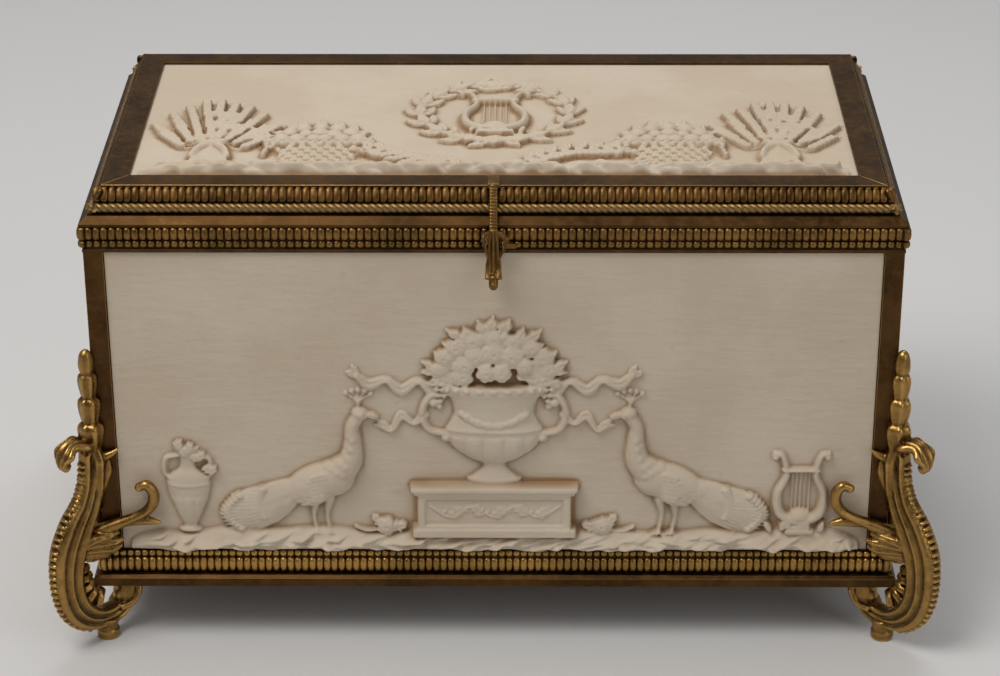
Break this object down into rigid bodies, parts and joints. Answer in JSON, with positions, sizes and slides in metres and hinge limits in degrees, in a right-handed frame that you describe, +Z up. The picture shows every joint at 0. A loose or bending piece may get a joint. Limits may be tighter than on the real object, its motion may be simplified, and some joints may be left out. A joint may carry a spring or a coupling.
{
  "type": "jewelry casket",
  "caption": "Lidded jewelry casket: gilt-brass frame with bisque relief panels, reeded and rope mouldings, hasp with sliding bolt, and cast acanthus scroll feet.",
  "frame": {"origin": "on the table under the middle of the casket", "axes": "+Z up, front with the hasp towards -Y, +X along the width"},
  "size_m": [0.3718, 0.2058, 0.2088],
  "materials": {
    "gilt_frame": "aged gilt",
    "gilt_moulding": "aged gilt",
    "gilt_foot": "worn gilt",
    "gilt_hasp": "aged gilt",
    "bisque": "matt unglazed",
    "lining": "silk velvet",
    "wood": "planed",
    "steel": "dull"
  },
  "bodies": {
    "case": {"back_left_foot": "gilt_foot", "back_left_post": "gilt_frame", "back_lining": "lining", "back_panel": "bisque", "back_right_foot": "gilt_foot", "back_right_post": "gilt_frame", "base_back_moulding": "gilt_moulding", "base_back_rail": "gilt_frame", "base_front_moulding": "gilt_moulding", "base_front_rail": "gilt_frame", "base_left_moulding": "gilt_moulding", "base_left_rail": "gilt_frame", "base_right_moulding": "gilt_moulding", "base_right_rail": "gilt_frame", "bottom_board": "wood", "case_hinge_screws": "steel", "floor_pad": "lining", "foot_screws": "steel", "front_left_foot": "gilt_foot", "front_left_post": "gilt_frame", "front_lining": "lining", "front_panel": "bisque", "front_right_foot": "gilt_foot", "front_right_post": "gilt_frame", "hinge_pins": "steel", "left_hinge_case_leaf": "gilt_frame", "left_lining": "lining", "left_panel": "bisque", "right_hinge_case_leaf": "gilt_frame", "right_lining": "lining", "right_panel": "bisque", "rim_back_moulding": "gilt_moulding", "rim_back_rail": "gilt_frame", "rim_front_left_moulding": "gilt_moulding", "rim_front_rail": "gilt_frame", "rim_front_right_moulding": "gilt_moulding", "rim_left_moulding": "gilt_moulding", "rim_left_rail": "gilt_frame", "rim_right_moulding": "gilt_moulding", "rim_right_rail": "gilt_frame"},
    "lid": {"hasp_bracket": "gilt_hasp", "left_hinge_lid_leaf": "gilt_frame", "lid_back_bead": "gilt_moulding", "lid_back_rail": "gilt_frame", "lid_backing_board": "wood", "lid_front_left_bead": "gilt_moulding", "lid_front_rail": "gilt_frame", "lid_front_right_bead": "gilt_moulding", "lid_hinge_screws": "steel", "lid_left_bead": "gilt_moulding", "lid_left_rail": "gilt_frame", "lid_pad": "lining", "lid_panel": "bisque", "lid_right_bead": "gilt_moulding", "lid_right_rail": "gilt_frame", "lid_rope": "gilt_moulding", "right_hinge_lid_leaf": "gilt_frame"},
    "hasp": {"hasp": "gilt_hasp", "hasp_pin": "steel"},
    "bolt": {"lock_bolt": "gilt_hasp"}
  },
  "joints": [
    {"name": "lid_hinge", "type": "hinge", "parent": "case", "child": "lid", "pos_m": [0, 0.081, 0.19415], "axis": [-1, 0, 0], "range_deg": [0, 100]},
    {"name": "hasp_hinge", "type": "hinge", "parent": "lid", "child": "hasp", "pos_m": [0, -0.0748, 0.2054], "axis": [-1, 0, 0], "range_deg": [0, 110]},
    {"name": "bolt_slide", "type": "slide", "parent": "case", "child": "bolt", "axis": [-1, 0, 0], "range_m": [0, 0.0024]}
  ]
}
